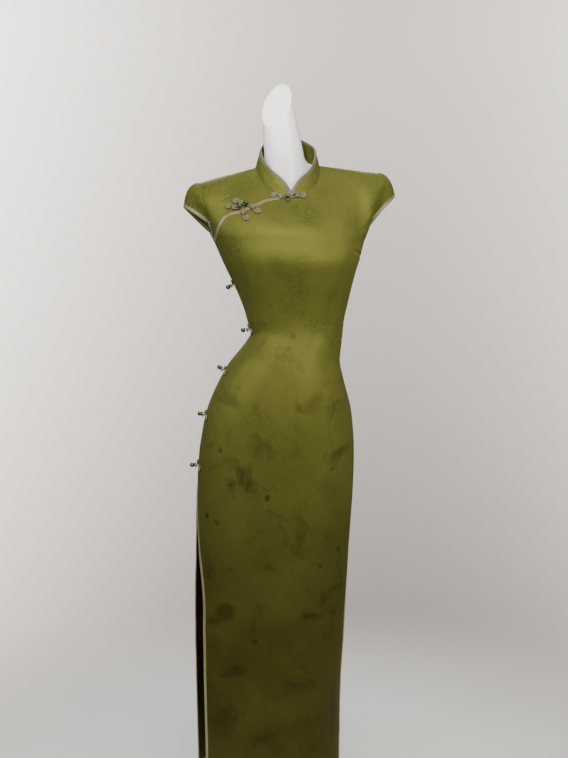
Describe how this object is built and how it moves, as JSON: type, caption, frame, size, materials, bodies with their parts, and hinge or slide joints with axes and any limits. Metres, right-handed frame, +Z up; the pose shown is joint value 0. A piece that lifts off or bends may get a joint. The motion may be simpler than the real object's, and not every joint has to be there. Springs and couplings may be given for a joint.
{
  "type": "cheongsam dress on dress form",
  "caption": "Floor-length silk cheongsam with a stand collar, cap sleeves, a curved right opening with frog fastenings and side slits, worn by a limbless dress form on a pole and base plate.",
  "frame": {"origin": "centre of the base plate's underside, on the floor", "axes": "+Z up; the dress faces -Y; -X is the wearer's right, the side where the dress opens"},
  "size_m": [0.4715, 0.34, 1.5736],
  "materials": {
    "silk": "olive green silk satin with a golden sheen and darker mottling",
    "binding": "grey-beige satin bias binding, soft sheen",
    "cord": "beige covered cord, matt",
    "bead": "polished dark green stone bead",
    "form": "smooth glossy white moulding",
    "metal": "satin steel"
  },
  "bodies": {
    "root": {"front_panel": "silk", "underlap": "silk", "back_panel": "silk", "collar": "silk", "right_sleeve": "silk", "left_sleeve": "silk", "opening_binding": "binding", "collar_binding": "binding", "right_sleeve_binding": "binding", "left_sleeve_binding": "binding", "right_front_armhole_binding": "binding", "right_back_armhole_binding": "binding", "left_front_armhole_binding": "binding", "left_back_armhole_binding": "binding", "front_skirt_binding": "binding", "back_skirt_binding": "binding", "collar_frog_knot": "cord", "collar_frog_loop": "cord", "collar_frog_bead": "bead", "chest_frog_1_knot": "cord", "chest_frog_1_loop": "cord", "chest_frog_1_bead": "bead", "chest_frog_2_knot": "cord", "chest_frog_2_loop": "cord", "chest_frog_2_bead": "bead", "side_frog_1_knot": "cord", "side_frog_1_loop": "cord", "side_frog_1_bead": "bead", "side_frog_2_knot": "cord", "side_frog_2_loop": "cord", "side_frog_2_bead": "bead", "side_frog_3_knot": "cord", "side_frog_3_loop": "cord", "side_frog_3_bead": "bead", "side_frog_4_knot": "cord", "side_frog_4_loop": "cord", "side_frog_4_bead": "bead", "side_frog_5_knot": "cord", "side_frog_5_loop": "cord", "side_frog_5_bead": "bead", "dress_form": "form", "pole": "metal", "base_plate": "metal"}
  },
  "joints": []
}
